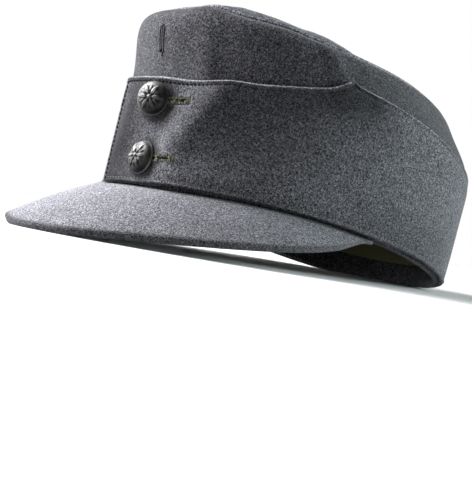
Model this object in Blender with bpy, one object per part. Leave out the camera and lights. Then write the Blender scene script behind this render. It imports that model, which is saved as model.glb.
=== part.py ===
import math

import bmesh
import bpy
from mathutils import Matrix, Vector

# Field cap with a turned-up ear flap and a stiff visor. Metres, +Z up, the front faces -Y and
# the wearer's left is +X. The shapes are worked out on the level cap, and the parent empty then
# leans it until the visor and the back of the rim touch the surface below.

# Cloth
wall_cloth = 0.0022
hem_cloth = 0.0016          # doubled inner edge of the crown wall
hem_height = 0.013
flap_cloth = 0.0025
lining_cloth = 0.0010
top_cloth = 0.0022
visor_board = 0.0039        # board with cloth on both sides
clearance = 0.0003          # between pieces that touch
edge_round = 0.0008         # how far a folded cloth edge is rounded back

# Lower edge, measured round the outside of the flap
rim_half_length = 0.1048
rim_half_width = 0.0889
rim_squareness = 2.18
rim_side_lift = 0.0029      # the rim is higher at the sides, lower at front and back
rim_rear_sag = 0.0008
narrow_front = 0.041        # share by which the front half is narrower than the middle

# Flap
flap_half_length = 0.1070   # at its upper edge
flap_half_width = 0.0901
flap_forward = 0.0019
flap_squareness = 2.13
flap_front_height = 0.0528
flap_peak_height = 0.0754
flap_back_height = 0.0520
flap_peak_angle = 67.0      # degrees from the front centre
waist_peak = 0.0749         # the crown wall's bend below the flap's peak
flap_lift = 0.0008          # its fold ends this far above the crown wall's edge
upper_end = 0.0250          # the outer end reaches this far past the centre, to the right side
under_end = 0.0220          # and the end below it this far to the left side
fold_run = 24.0             # degrees in which the outer end comes down onto the crown
fold_slant = 10.0           # degrees by which that fold leans back towards the top

# Crown
crown_height = 0.0931       # corner above the rim's middle plane, at the front
crown_half_length = 0.1028
crown_half_width = 0.0768
crown_forward = 0.0151
crown_squareness = 2.12
shoulder_front = 0.0150     # reach of the rounded corner at the front
shoulder_side = 0.0025
seam_allowance = 0.0050     # cloth turned in below the top panel
waist_reach = 0.0080        # rounding where the wall starts to lean in
slit_width = 0.0014
slit_bottom = 0.0667
slit_top = 0.0790

# Top panel
panel_rise = 0.0022

# Visor
visor_front_reach = 0.1583  # from the cap's middle
visor_front_drop = 0.0392   # below the rim's middle plane
visor_end_angle = 83.6
visor_camber = 0.0015
visor_tuck = 0.0050         # how far it reaches in below the rim
visor_tip = 0.0008          # reach past the rim at its two ends
visor_thinning = 0.55       # share of the board pared away towards the ends

# Buttons
button_radius = 0.0088
button_rim = 0.0014
button_dome = 0.0036
button_stand_off = 0.0008   # between the cloth and the button's rim
button_offset = 0.0072      # to the left of the front centre
button_heights = {"button_upper": 0.0409, "button_lower": 0.0104}
petal_relief = 0.00035
petals = 6
shank_width = 0.0036
shank_wire = 0.0012
hole_length = 0.0200        # from the shank to the rear end of the buttonhole
hole_rise = 0.0010          # the rear end lies this much higher
hole_slack = 0.0006         # beside the shank's front end

# Where it rests
press_front = 0.0006        # how far the cloth is pressed flat
press_back = 0.0014

# Smoothness
round_steps = 48
visor_steps = 15            # on each side
button_steps = 24
hole_steps = 8
sharp_angle = 40.0

# Upper edge of the flap: share of the way, share of the rise to the peak
flap_front_edge = ((0.0, 0.0), (0.27, 0.03), (0.54, 0.21), (0.71, 0.40), (0.80, 0.52), (0.866, 0.62),
                   (0.92, 0.745), (1.0, 1.0))
# and behind the peak: share of the way, share of the fall to the back
flap_back_edge = ((0.0, 0.0), (0.02, 0.075), (0.115, 0.135), (0.235, 0.25), (0.4, 0.49),
                  (0.515, 0.625), (0.735, 0.89), (1.0, 1.0))
# Crown corner: share of the way from front to back, share of the crown's height
crown_edge = ((0.0, 1.0), (0.17, 0.994), (0.33, 0.973), (0.5, 0.961), (0.67, 0.932), (0.83, 0.926),
              (1.0, 0.932))
# Where the crown wall starts to lean: share of the way, share of the waist's peak height
crown_waist = ((0.0, 0.72), (0.19, 0.79), (0.36, 0.93), (0.5, 0.90), (0.67, 0.79), (0.83, 0.72),
               (1.0, 0.70))
# Visor edge: share of the way to its end, share of the front reach past the rim, share of the drop
visor_edge = ((0.0, 1.0, 1.0), (0.3, 0.77, 0.825), (0.55, 0.545, 0.60), (0.8, 0.23, 0.29),
              (1.0, 0.0, 0.0))
# Button face: share of the radius, share of the dome, share of the petal relief
button_face = ((0.98, 0.16, 0.0), (0.90, 0.44, 0.0), (0.81, 0.62, 0.4), (0.60, 0.84, 1.0),
               (0.38, 0.94, 0.7), (0.2, 0.91, 0.0), (0.12, 0.99, 0.0))


def clear_scene():
    for item in list(bpy.data.objects):
        bpy.data.objects.remove(item, do_unlink=True)


def surface_material(name, color, roughness, metallic=0.0):
    material = bpy.data.materials.new(name)
    material.use_nodes = True
    shader = material.node_tree.nodes["Principled BSDF"]
    shader.inputs["Base Color"].default_value = (*color, 1.0)
    shader.inputs["Roughness"].default_value = roughness
    shader.inputs["Metallic"].default_value = metallic
    return material


def smooth(rows, share, column=1, flat_start=True, flat_end=True):
    # A cubic through the rows of a table, read at a share of the way
    share = min(max(share, 0.0), 1.0)
    slopes = []
    for i, row in enumerate(rows):
        before = rows[max(i - 1, 0)]
        after = rows[min(i + 1, len(rows) - 1)]
        slopes.append((after[column] - before[column]) / (after[0] - before[0]))
    if flat_start:
        slopes[0] = 0.0
    if flat_end:
        slopes[-1] = 0.0
    i = max(k for k in range(len(rows) - 1) if rows[k][0] <= share)
    run = rows[i + 1][0] - rows[i][0]
    t = (share - rows[i][0]) / run
    start = (1 + 2 * t) * (1 - t) ** 2 * rows[i][column]
    end = t * t * (3 - 2 * t) * rows[i + 1][column]
    bend = t * (1 - t) ** 2 * slopes[i] - t * t * (1 - t) * slopes[i + 1]
    return start + end + bend * run


def ease(share):
    share = min(max(share, 0.0), 1.0)
    return share * share * (3 - 2 * share)


def signed_turn(turn):
    # Degrees round the cap brought to -180..180, where 0 is the front and 90 the left side
    return (turn + 180.0) % 360.0 - 180.0


def oval(turn, half_length, half_width, forward, squareness, narrowing, height):
    front = math.cos(math.radians(turn))
    side = math.sin(math.radians(turn))
    power = 2.0 / squareness
    x = half_width * math.copysign(abs(side) ** power, side) * (1 - narrowing * front)
    y = -forward - half_length * math.copysign(abs(front) ** power, front)
    return Vector((x, y, height))


def rim_oval(turn, inset, height):
    return oval(turn, rim_half_length - inset, rim_half_width - inset, 0.0, rim_squareness,
                narrow_front, height)


def flap_oval(turn, inset, height):
    return oval(turn, flap_half_length - inset, flap_half_width - inset, flap_forward,
                flap_squareness, narrow_front, height)


def crown_oval(turn, inset, height):
    return oval(turn, crown_half_length - inset, crown_half_width - inset, crown_forward,
                crown_squareness, narrow_front / 2, height)


def rim_height(turn):
    bow = math.cos(math.radians(2 * turn))
    sag = math.cos(math.radians(3 * turn)) - math.cos(math.radians(turn))
    return -rim_side_lift * bow - rim_rear_sag * sag


def wall_bottom(turn):
    return rim_height(turn) - flap_lift


def flap_top(turn):
    turn = abs(signed_turn(turn))
    if turn <= flap_peak_angle:
        rise = smooth(flap_front_edge, turn / flap_peak_angle, flat_end=False)
        return flap_front_height + rise * (flap_peak_height - flap_front_height)
    share = (turn - flap_peak_angle) / (180.0 - flap_peak_angle)
    fall = smooth(flap_back_edge, share, flat_start=False)
    return flap_peak_height - fall * (flap_peak_height - flap_back_height)


def corner_height(turn):
    turn = signed_turn(turn)
    return crown_height * smooth(crown_edge, abs(turn) / 180.0)


def waist_height(turn):
    return waist_peak * smooth(crown_waist, abs(signed_turn(turn)) / 180.0)


def shoulder(turn):
    # Reach of the rounded corner: wide in front, small along the sides and the back
    front = (1 + math.cos(math.radians(turn))) / 2
    return shoulder_side + (shoulder_front - shoulder_side) * front ** 3


def turn_at(across):
    # Angle at which the front of the cap is this far to the left of the centre
    share = abs(across) / (rim_half_width * (1 - narrow_front))
    return math.copysign(math.degrees(math.asin(share ** (rim_squareness / 2))), across)


def rounded(before, corner, after, reach_before, reach_after, steps):
    start = corner + (before - corner).normalized() * reach_before
    end = corner + (after - corner).normalized() * reach_after
    points = []
    for i in range(steps + 1):
        t = i / steps
        points.append(start * (1 - t) ** 2 + corner * 2 * t * (1 - t) + end * t * t)
    return points


# Depths count inwards from the crown wall's outer side
layer = flap_cloth + clearance


def wall_corners(turn, depth):
    # The three corners of the wall's profile: rim, waist and top corner
    low = rim_oval(turn, layer + depth, wall_bottom(turn))
    waist = flap_oval(turn, layer + depth, waist_height(turn))
    top = crown_oval(turn, depth, corner_height(turn) - depth)
    return low, waist, top


def wall_at(turn, height, depth):
    # Point of the wall's profile at a height, below its top corner. It bends softly at the waist
    low, waist, top = wall_corners(turn, depth)
    below = (waist - low) / (waist.z - low.z)
    above = (top - waist) / (top.z - waist.z)
    offset = height - waist.z
    if offset <= -waist_reach:
        return waist + below * offset
    if offset >= waist_reach:
        return waist + above * offset
    bend = (offset + waist_reach) ** 2 / (4 * waist_reach)
    return waist + below * offset + (above - below) * bend


def wall_profile(turn, depth, steps):
    # From just below the waist up and round the top corner, along one side of the cloth
    waist, top = wall_corners(turn, depth)[1:]
    reach = max(shoulder(turn) - depth, edge_round / 2)
    inner = crown_oval(turn, depth + reach, top.z)
    points = [wall_at(turn, waist.z + share * waist_reach, depth) for share in (-1, 0, 1)]
    return points + rounded(waist, top, inner, 1.3 * reach, reach, steps)


def seat_height(y):
    # The surface below, seen from the level cap: a plane through the front and back contacts
    front_y, front_z, back_y, back_z = contact_points()
    share = (y - front_y) / (back_y - front_y)
    return front_z + share * (back_z - front_z)


def contact_points():
    middle = visor_section(0.0)
    lowest = min(middle, key=lambda point: point.z)
    front_y = lowest.y
    front_z = lowest.z + press_front
    back = rim_oval(180.0, layer, wall_bottom(180.0))
    return front_y, front_z, back.y, back.z + press_back


def pressed(point):
    return Vector((point.x, point.y, max(point.z, seat_height(point.y))))


def stations():
    # Angles of the sections: even steps, with the flap's peaks and ends among them
    even = [i * 360.0 / round_steps - 180.0 for i in range(round_steps)]
    own = [flap_peak_angle, -flap_peak_angle, turn_at(-upper_end), turn_at(under_end)]
    spacing = 360.0 / round_steps
    near = [turn for turn in even if all(abs(turn - other) > spacing / 4 for other in own)]
    return sorted(near + own)


def finish(name, bm, material):
    bmesh.ops.recalc_face_normals(bm, faces=bm.faces)
    mesh = bpy.data.meshes.new(name)
    bm.to_mesh(mesh)
    bm.free()
    mesh.shade_smooth()
    mesh.set_sharp_from_angle(angle=math.radians(sharp_angle))
    mesh.materials.append(material)
    item = bpy.data.objects.new(name, mesh)
    bpy.context.scene.collection.objects.link(item)
    return item


def bridge(bm, near, far, closed):
    count = len(near)
    for i in range(count if closed else count - 1):
        j = (i + 1) % count
        bm.faces.new((near[i], near[j], far[j], far[i]))


def ring_loft(name, rings, material, poles=None):
    # Rings that run round the cap; the last joins the first, or each end closes on a pole
    bm = bmesh.new()
    loops = [[bm.verts.new(pressed(point)) for point in ring] for ring in rings]
    for near, far in zip(loops, loops[1:]):
        bridge(bm, near, far, True)
    if poles is None:
        bridge(bm, loops[-1], loops[0], True)
    else:
        for loop, pole in ((loops[0], poles[0]), (loops[-1], poles[1])):
            tip = bm.verts.new(pole)
            for i, vert in enumerate(loop):
                bm.faces.new((vert, loop[(i + 1) % len(loop)], tip))
    return finish(name, bm, material)


def band_loft(name, sections, material):
    # Sections of a band with two ends. A section goes up one side, over its tip and down again
    bm = bmesh.new()
    loops = [[bm.verts.new(pressed(point)) for point in section] for section in sections]
    for near, far in zip(loops, loops[1:]):
        bridge(bm, near, far, True)
    for loop in (loops[0], loops[-1]):
        last = len(loop) - 1
        for i in range(last // 2):
            corners = [loop[i], loop[i + 1], loop[last - i - 1], loop[last - i]]
            bm.faces.new(list(dict.fromkeys(corners)))
    return finish(name, bm, material)


def as_cutter(item):
    item.hide_render = True
    item.display_type = "WIRE"


def add_boolean(item, tool, operation):
    modifier = item.modifiers.new(tool.name, "BOOLEAN")
    modifier.operation = operation
    modifier.solver = "EXACT"
    modifier.object = tool


def make_crown_wall(material):
    columns = []
    hem = wall_cloth + hem_cloth
    for turn in stations():
        bottom = wall_bottom(turn)
        hem_top = bottom + hem_height
        waist_low = waist_height(turn) - waist_reach
        reach = shoulder(turn) + seam_allowance
        column = [wall_at(turn, bottom, edge_round), wall_at(turn, bottom + edge_round, 0.0)]
        for share in (0.3, 0.65):
            column.append(wall_at(turn, bottom + share * (waist_low - bottom), 0.0))
        column += wall_profile(turn, 0.0, 5)
        column.append(crown_oval(turn, reach, corner_height(turn)))
        column.append(crown_oval(turn, reach, corner_height(turn) - wall_cloth))
        column += reversed(wall_profile(turn, wall_cloth, 3))
        column.append(wall_at(turn, hem_top, wall_cloth))
        column.append(wall_at(turn, hem_top - edge_round / 2, hem))
        column.append(wall_at(turn, bottom + edge_round, hem))
        column.append(wall_at(turn, bottom, hem - edge_round))
        columns.append(column)
    wall = ring_loft("crown_wall", list(zip(*columns)), material)
    lean = wall_at(0.0, slit_bottom, 0.0) - wall_at(0.0, slit_top, 0.0)
    bm = bmesh.new()
    bmesh.ops.create_cube(bm, size=1.0)
    depth = 6 * wall_cloth
    bmesh.ops.scale(bm, vec=(slit_width, depth, slit_top - slit_bottom), verts=bm.verts)
    cutter = finish("badge_slit_cutter", bm, material)
    cutter.location = (wall_at(0.0, slit_bottom, 0.0) + wall_at(0.0, slit_top, 0.0)) / 2
    cutter.rotation_euler.x = math.atan2(lean.y, -lean.z)
    as_cutter(cutter)
    add_boolean(wall, cutter, "DIFFERENCE")
    return [wall, cutter]


def panel_point(turn, share, edge_inset, lift):
    # A point over the crown's opening: share 1 lies on the seam and 0 in the middle
    edge = crown_oval(turn, edge_inset, corner_height(turn))
    front = crown_oval(0.0, edge_inset, corner_height(0.0))
    back = crown_oval(180.0, edge_inset, corner_height(180.0))
    middle = front.lerp(back, 0.5)
    point = middle.lerp(edge, share)
    along = (point.y - front.y) / (back.y - front.y)
    plane = front.z + along * (back.z - front.z)
    edge_along = (edge.y - front.y) / (back.y - front.y)
    stray = edge.z - (front.z + edge_along * (back.z - front.z))
    point.z = plane + stray * share * share + lift
    return point


def make_top_panel(material):
    rings = []
    bottom = clearance
    for share in (0.4, 0.7, 0.88, 0.96):
        puff = panel_rise * (1 - share ** 4)
        lift = bottom + top_cloth + puff
        rings.append([panel_point(turn, share, shoulder(turn), lift) for turn in stations()])
    for inset, lift in ((edge_round / 2, 0.85), (0.0, 0.45), (edge_round / 2, 0.0)):
        rings.append([panel_point(turn, 1.0, shoulder(turn) + inset, bottom + lift * top_cloth)
                      for turn in stations()])
    flat = 0.9                                # the underside lies flat on the seam allowance
    for share in (flat, 0.6):
        puff = panel_rise * (1 - (share / flat) ** 4)
        rings.append([panel_point(turn, share, shoulder(turn), bottom + puff)
                      for turn in stations()])
    crest = bottom + panel_rise
    poles = (panel_point(0.0, 0.0, shoulder(0.0), crest + top_cloth),
             panel_point(0.0, 0.0, shoulder(0.0), crest))
    return [ring_loft("top_panel", rings, material, poles)]


def make_lining(material):
    outer_depth = wall_cloth + clearance
    inner_depth = outer_depth + lining_cloth
    columns = []
    for turn in stations():
        start = wall_bottom(turn) + hem_height + clearance
        column = []
        for share in (0.5, 0.85):
            column.append(panel_point(turn, share, shoulder(turn), -outer_depth))
        column += reversed(wall_profile(turn, outer_depth, 3))
        column.append(wall_at(turn, start, outer_depth))
        column.append(wall_at(turn, start, inner_depth))
        column += wall_profile(turn, inner_depth, 3)
        for share in (0.85, 0.5):
            column.append(panel_point(turn, share, shoulder(turn), -inner_depth))
        columns.append(column)
    poles = (panel_point(0.0, 0.0, shoulder(0.0), -outer_depth),
             panel_point(0.0, 0.0, shoulder(0.0), -inner_depth))
    return [ring_loft("lining", list(zip(*columns)), material, poles)]


def overlap_lift(turn, height):
    # The outer end stands off by one layer where it covers the under end
    share = (height - rim_height(turn)) / (flap_top(turn) - rim_height(turn))
    start = turn_at(under_end) + 2.0 + fold_slant * share
    if turn > 180.0:
        return 0.0
    return layer * (1 - ease((turn - start) / fold_run))


def flap_at(turn, height, side):
    # Side 0 is the flap's inner face and 1 its outer face
    depth = -clearance - side * flap_cloth - overlap_lift(turn, height)
    return wall_at(signed_turn(turn), height, depth)


def make_ear_flap(material):
    first = turn_at(-upper_end)
    last = turn_at(under_end)
    turns = [turn for turn in stations() if turn >= first - 1e-6]
    turns += [turn + 360.0 for turn in stations() if turn <= last + 1e-6]
    sections = []
    for turn in turns:
        low = rim_height(turn)
        high = flap_top(turn)
        knee = min(waist_height(turn), high - 2 * edge_round)
        bend = knee - waist_reach
        heights = [low + edge_round, (low + bend) / 2, bend, knee, high - edge_round]
        section = [flap_at(turn, low, 0.5)]
        section += [flap_at(turn, height, 1.0) for height in heights]
        section += [flap_at(turn, high, 0.5)]
        section += [flap_at(turn, height, 0.0) for height in reversed(heights)]
        sections.append(section)
    flap = band_loft("ear_flap", sections, material)
    made = [flap]
    for name, height in button_heights.items():
        cutter = make_hole_cutter(name + "_hole", height, material)
        add_boolean(flap, cutter, "DIFFERENCE")
        made.append(cutter)
    return made


def make_hole_cutter(name, height, material):
    # A curved blade that cuts the outer end of the flap and stops short of the under end
    first = turn_at(button_offset - shank_width / 2 - hole_slack)
    last = turn_at(button_offset + hole_length)
    half = shank_wire / 2 + clearance
    near = -clearance / 2 / flap_cloth        # sides as shares of the cloth's thickness
    far = 2.5
    sections = []
    for i in range(hole_steps + 1):
        turn = first + (last - first) * i / hole_steps
        level = height + hole_rise * i / hole_steps
        sections.append([flap_at(turn, level - half, near), flap_at(turn, level - half, far),
                         flap_at(turn, level + half, far), flap_at(turn, level + half, near)])
    cutter = band_loft(name, sections, material)
    as_cutter(cutter)
    return cutter


def visor_root(turn, inset):
    return rim_oval(turn, inset, wall_bottom(turn) - clearance)


def visor_rim(turn):
    # The visor's outer edge, top side, straight out from the rim at an angle round the cap
    root = visor_root(turn, 0.0)
    end = visor_root(visor_end_angle, 0.0)
    front = visor_root(0.0, 0.0)
    polar = math.atan2(root.x, -root.y)
    share = abs(polar) / math.atan2(end.x, -end.y)
    reach = smooth(visor_edge, share, 1) * (visor_front_reach + front.y - visor_tip) + visor_tip
    drop = smooth(visor_edge, share, 2) * (visor_front_drop + front.z)
    outwards = Vector((math.sin(polar), -math.cos(polar), 0.0))
    return root + outwards * reach - Vector((0.0, 0.0, drop))


def visor_section(turn):
    # Top side from below the crown out to the edge, round it, and back along the underside
    inner = visor_root(turn, visor_tuck)
    root = visor_root(turn, 0.0)
    edge = visor_rim(turn)
    end_share = abs(turn) / visor_end_angle
    board = visor_board * (1 - visor_thinning * ease(4 * end_share - 3))
    outwards = (root - inner).normalized()
    top = [inner]
    for share in (0.0, 0.08, 0.2, 0.4, 0.6, 0.8, 1.0):
        point = root.lerp(edge, share)
        point.z += 4 * visor_camber * share * (1 - share) * (1 - end_share ** 2)
        top.append(point)
    under = []
    for i, point in enumerate(top):
        along = top[min(i + 1, len(top) - 1)] - top[max(i - 1, 0)]
        slope = math.atan2(-along.z, max(along.dot(outwards), edge_round / 2))
        thickness = Vector((0.0, 0.0, math.cos(slope))) + outwards * math.sin(slope)
        under.append(point - board * thickness)
    nose = (top[-1] + under[-1]) / 2 + (outwards - Vector((0.0, 0.0, 0.5))) * board / 3
    return top + [nose] + list(reversed(under))


def make_visor(material):
    sections = []
    for i in range(-visor_steps, visor_steps + 1):
        sections.append(visor_section(visor_end_angle * i / visor_steps))
    return [band_loft("visor", sections, material)]


def make_button(name, height, material):
    bm = bmesh.new()
    rings = [(0.94, 0.0), (1.0, 0.3), (1.0, 0.8)]
    profile = [(share * button_radius, rise * button_rim, 0.0) for share, rise in rings]
    for share, rise, relief in button_face:
        profile.append((share * button_radius, button_rim + rise * button_dome,
                        relief * petal_relief))
    loops = []
    for radius, rise, relief in profile:
        loop = []
        for i in range(button_steps):
            angle = 2 * math.pi * i / button_steps
            raised = rise + relief * math.cos(petals * angle)
            spot = (radius * math.cos(angle), radius * math.sin(angle), raised)
            loop.append(bm.verts.new(spot))
        loops.append(loop)
    for near, far in zip(loops, loops[1:]):
        bridge(bm, near, far, True)
    for loop, rise in ((loops[0], 0.0), (loops[-1], button_rim + button_dome)):
        tip = bm.verts.new((0.0, 0.0, rise))
        for i, vert in enumerate(loop):
            bm.faces.new((vert, loop[(i + 1) % button_steps], tip))
    button = finish(name, bm, material)
    turn = turn_at(button_offset)
    across = flap_at(turn + 1.0, height, 1.0) - flap_at(turn - 1.0, height, 1.0)
    upward = flap_at(turn, height + flap_cloth, 1.0) - flap_at(turn, height - flap_cloth, 1.0)
    outward = across.cross(upward).normalized()
    across.normalize()
    seat = flap_at(turn, height, 1.0) + outward * button_stand_off
    facing = Matrix((across, outward.cross(across), outward)).transposed()
    place = Matrix.Translation(seat) @ facing.to_4x4()
    button.matrix_basis = place
    bm = bmesh.new()
    bmesh.ops.create_cube(bm, size=1.0)
    reach = flap_cloth + button_stand_off
    bmesh.ops.scale(bm, vec=(shank_width, shank_wire, reach + button_rim), verts=bm.verts)
    bmesh.ops.translate(bm, vec=(0.0, 0.0, (button_rim - reach) / 2), verts=bm.verts)
    shank = finish(name + "_shank", bm, material)
    shank.matrix_basis = place
    as_cutter(shank)
    add_boolean(button, shank, "UNION")
    return [button, shank]


def lean_on_surface(pieces):
    # The parent leans the cap about the X axis and sets its outline's middle over the origin
    front_y, front_z, back_y, back_z = contact_points()
    lean = Matrix.Rotation(-math.atan2(back_z - front_z, back_y - front_y), 4, "X")
    base = (lean @ Vector((0.0, back_y, back_z))).z
    depths = []
    for piece in pieces:
        if not piece.hide_render:
            depths += [(lean @ piece.matrix_basis @ vert.co).y for vert in piece.data.vertices]
    cap = bpy.data.objects.new("field_cap", None)
    bpy.context.scene.collection.objects.link(cap)
    cap.rotation_euler = lean.to_euler()
    cap.location = (0.0, -(min(depths) + max(depths)) / 2, -base)
    for piece in pieces:
        piece.parent = cap


def build():
    clear_scene()
    wool = surface_material("cap_wool", (0.16, 0.165, 0.18), 0.95)
    visor_wool = surface_material("visor_wool", (0.20, 0.205, 0.22), 0.95)
    flap_wool = surface_material("flap_wool", (0.15, 0.155, 0.17), 0.95)
    top_wool = surface_material("top_wool", (0.17, 0.175, 0.19), 0.95)
    twill = surface_material("lining_twill", (0.21, 0.20, 0.10), 0.85)
    pieces = make_crown_wall(wool)
    pieces += make_top_panel(top_wool)
    pieces += make_ear_flap(flap_wool)
    pieces += make_visor(visor_wool)
    pieces += make_lining(twill)
    for name, height in button_heights.items():
        metal = surface_material(name + "_metal", (0.22, 0.21, 0.20), 0.4, 0.9)
        pieces += make_button(name, height, metal)
    lean_on_surface(pieces)


build()
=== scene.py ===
import math
from functools import lru_cache

import bmesh
import bpy
import numpy as np
from mathutils import Matrix, Vector, noise


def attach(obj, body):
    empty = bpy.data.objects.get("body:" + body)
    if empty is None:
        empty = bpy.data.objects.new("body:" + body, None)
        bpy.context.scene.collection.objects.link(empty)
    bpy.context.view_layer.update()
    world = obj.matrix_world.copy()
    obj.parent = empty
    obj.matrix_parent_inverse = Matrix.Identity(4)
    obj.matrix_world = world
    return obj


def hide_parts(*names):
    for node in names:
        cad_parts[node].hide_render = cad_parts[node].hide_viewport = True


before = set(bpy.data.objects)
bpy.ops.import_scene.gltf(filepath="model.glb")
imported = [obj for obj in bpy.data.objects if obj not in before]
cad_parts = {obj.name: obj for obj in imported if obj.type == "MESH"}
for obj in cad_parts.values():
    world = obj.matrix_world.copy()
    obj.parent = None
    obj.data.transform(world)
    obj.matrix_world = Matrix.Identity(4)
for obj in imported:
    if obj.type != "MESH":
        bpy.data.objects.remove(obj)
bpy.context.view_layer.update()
print("frame loaded")

# The cap is worked out level and then leans until its visor and the back of its rim touch the floor
resting = {"lean": -8.689, "along": 0.025906, "up": 0.017683}
leaned = (Matrix.Translation((0, resting["along"], resting["up"]))
          @ Matrix.Rotation(math.radians(resting["lean"]), 4, "X"))

rim = {"halfLength": 0.1048, "halfWidth": 0.0889, "forward": 0, "squareness": 2.18, "narrowing": 0.041,
       "sideLift": 0.0029, "rearSag": 0.0008}
flap = {"halfLength": 0.1070, "halfWidth": 0.0901, "forward": 0.0019, "squareness": 2.13,
        "narrowing": 0.041, "frontHeight": 0.0528, "peakHeight": 0.0754, "backHeight": 0.0520,
        "peakAngle": 67.0, "waistPeak": 0.0749, "cloth": 0.0025, "gap": 0.0003, "outerEnd": 0.0250,
        "underEnd": 0.0220, "foldStart": 2.0, "foldRun": 24.0, "foldSlant": 10.0}
crown = {"halfLength": 0.1028, "halfWidth": 0.0768, "forward": 0.0151, "squareness": 2.12,
         "narrowing": 0.0205, "height": 0.0931, "shoulderFront": 0.0150, "shoulderSide": 0.0025,
         "allowance": 0.0050, "waistReach": 0.0080, "cloth": 0.0018, "hemFold": 0.0010,
         "hemHeight": 0.013, "below": 0.0008, "bend": 1.3, "leastShoulder": 0.0006}
visor = {"frontReach": 0.1583, "frontDrop": 0.0392, "endAngle": 83.6, "camber": 0.0015,
         "tuck": 0.0050, "tip": 0.0008, "board": 0.0039, "thinning": 0.55}

# Shares of the way and of the rise, read through a smooth curve
flapFrontEdge = ((0, 0), (0.27, 0.03), (0.54, 0.21), (0.71, 0.40), (0.80, 0.52), (0.866, 0.62),
                 (0.92, 0.745), (1, 1))
flapBackEdge = ((0, 0), (0.02, 0.075), (0.115, 0.135), (0.235, 0.25), (0.4, 0.49), (0.515, 0.625),
                (0.735, 0.89), (1, 1))
crownEdge = ((0, 1), (0.17, 0.994), (0.33, 0.973), (0.5, 0.961), (0.67, 0.932), (0.83, 0.926), (1, 0.932))
crownWaist = ((0, 0.72), (0.19, 0.79), (0.36, 0.93), (0.5, 0.90), (0.67, 0.79), (0.83, 0.72), (1, 0.70))
# How soft cloth strays from those forms, by turn: metres up at the crown's top seam, metres that the
# seam sinks behind the corner and metres that the panel puffs up behind it, then the flap's lower edge
crownSeam = ((-180, 0.0002, 0.0024, 0), (-150, -0.0012, 0.0024, 0), (-133, -0.0018, 0.0024, 0),
             (-113, 0.0006, 0.0024, 0), (-80, 0.0006, 0.0024, 0), (-64, -0.0004, 0.0022, 0.0026),
             (-33, -0.0004, 0.0016, 0.0050), (-14, -0.0012, 0.0006, 0.0010), (5, -0.0012, 0.0004, 0.0004),
             (19, 0.0014, 0.0010, 0.0024), (33, 0, 0.0016, 0.0050), (50, 0.0010, 0.0018, 0.0034),
             (66, 0.0004, 0.0020, 0.0043), (80, 0.0008, 0.0024, 0.0008), (96, 0.0015, 0.0024, 0),
             (113, 0.0008, 0.0024, 0), (123, -0.0007, 0.0024, 0), (133, -0.0022, 0.0024, 0),
             (150, -0.0014, 0.0024, 0), (180, 0.0002, 0.0024, 0))
flapFoot = ((-14, -0.0018), (-8, -0.0012), (-2, -0.0003), (4, 0), (14, 0.0006), (24, 0.0005),
            (36, 0.0003), (55, 0.0), (80, 0.0), (98, 0.0010), (118, 0.0004), (140, 0))
visorEdge = ((0, 1, 1), (0.3, 0.77, 0.825), (0.55, 0.545, 0.60), (0.8, 0.23, 0.29), (1, 0, 0))


def settle(point):
    point = leaned @ Vector(point)
    point.z = max(point.z, 0.0)
    return point


def ease(share):
    share = min(max(share, 0.0), 1.0)
    return share * share * (3 - 2 * share)


def bump(distance, reach):
    return math.exp(-(distance / reach) ** 2)


def swell(value, start, rise, end, fall):
    # From 0 to 1 past the start, and back to 0 past the end
    return ease((value - start) / rise) * (1 - ease((value - end) / fall))


def outwardAt(turn):
    return Vector((math.sin(math.radians(turn)), -math.cos(math.radians(turn)), 0))


def runAlong(points, least=0.0):
    # Length from the first point to each of the others, along all that lie between
    lengths = [0.0]
    for near, far in zip(points, points[1:]):
        lengths.append(lengths[-1] + max((far - near).length, least))
    return lengths


def readCurve(rows, share, column=1, flatStart=True, flatEnd=True):
    share = min(max(share, rows[0][0]), rows[-1][0])
    slopes = []
    for i in range(len(rows)):
        before = rows[max(i - 1, 0)]
        after = rows[min(i + 1, len(rows) - 1)]
        slopes.append((after[column] - before[column]) / (after[0] - before[0]))
    if flatStart:
        slopes[0] = 0.0
    if flatEnd:
        slopes[-1] = 0.0
    i = max(k for k in range(len(rows) - 1) if rows[k][0] <= share)
    run = rows[i + 1][0] - rows[i][0]
    t = (share - rows[i][0]) / run
    start = (1 + 2 * t) * (1 - t) ** 2 * rows[i][column]
    end = t * t * (3 - 2 * t) * rows[i + 1][column]
    return start + end + run * (t * (1 - t) ** 2 * slopes[i] - t * t * (1 - t) * slopes[i + 1])


def ring(oval, turn, inset, height):
    # Turn 0 is the front, where the oval is narrower; inset counts inwards all round
    front = math.cos(math.radians(turn))
    side = math.sin(math.radians(turn))
    power = 2 / oval["squareness"]
    wide = (oval["halfWidth"] - inset) * (1 - oval["narrowing"] * front)
    x = wide * math.copysign(abs(side) ** power, side)
    y = -oval["forward"] - (oval["halfLength"] - inset) * math.copysign(abs(front) ** power, front)
    return Vector((x, y, height))


def signedTurn(turn):
    return (turn + 180) % 360 - 180


def aroundFront(turn):
    return abs(signedTurn(turn))


@lru_cache(None)
def rimHeight(turn):
    angle = math.radians(turn)
    sag = math.cos(3 * angle) - math.cos(angle)
    return -rim["sideLift"] * math.cos(2 * angle) - rim["rearSag"] * sag


def wallBottom(turn):
    return rimHeight(turn) - crown["below"]


@lru_cache(None)
def flapTop(turn):
    away = aroundFront(turn)
    if away <= flap["peakAngle"]:
        rise = readCurve(flapFrontEdge, away / flap["peakAngle"], flatEnd=False)
        return flap["frontHeight"] + rise * (flap["peakHeight"] - flap["frontHeight"])
    share = (away - flap["peakAngle"]) / (180 - flap["peakAngle"])
    fall = readCurve(flapBackEdge, share, flatStart=False)
    return flap["peakHeight"] - fall * (flap["peakHeight"] - flap["backHeight"])


@lru_cache(None)
def cornerHeight(turn):
    stray = readCurve(crownSeam, signedTurn(turn), 1)
    return crown["height"] * readCurve(crownEdge, aroundFront(turn) / 180) + stray


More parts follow.
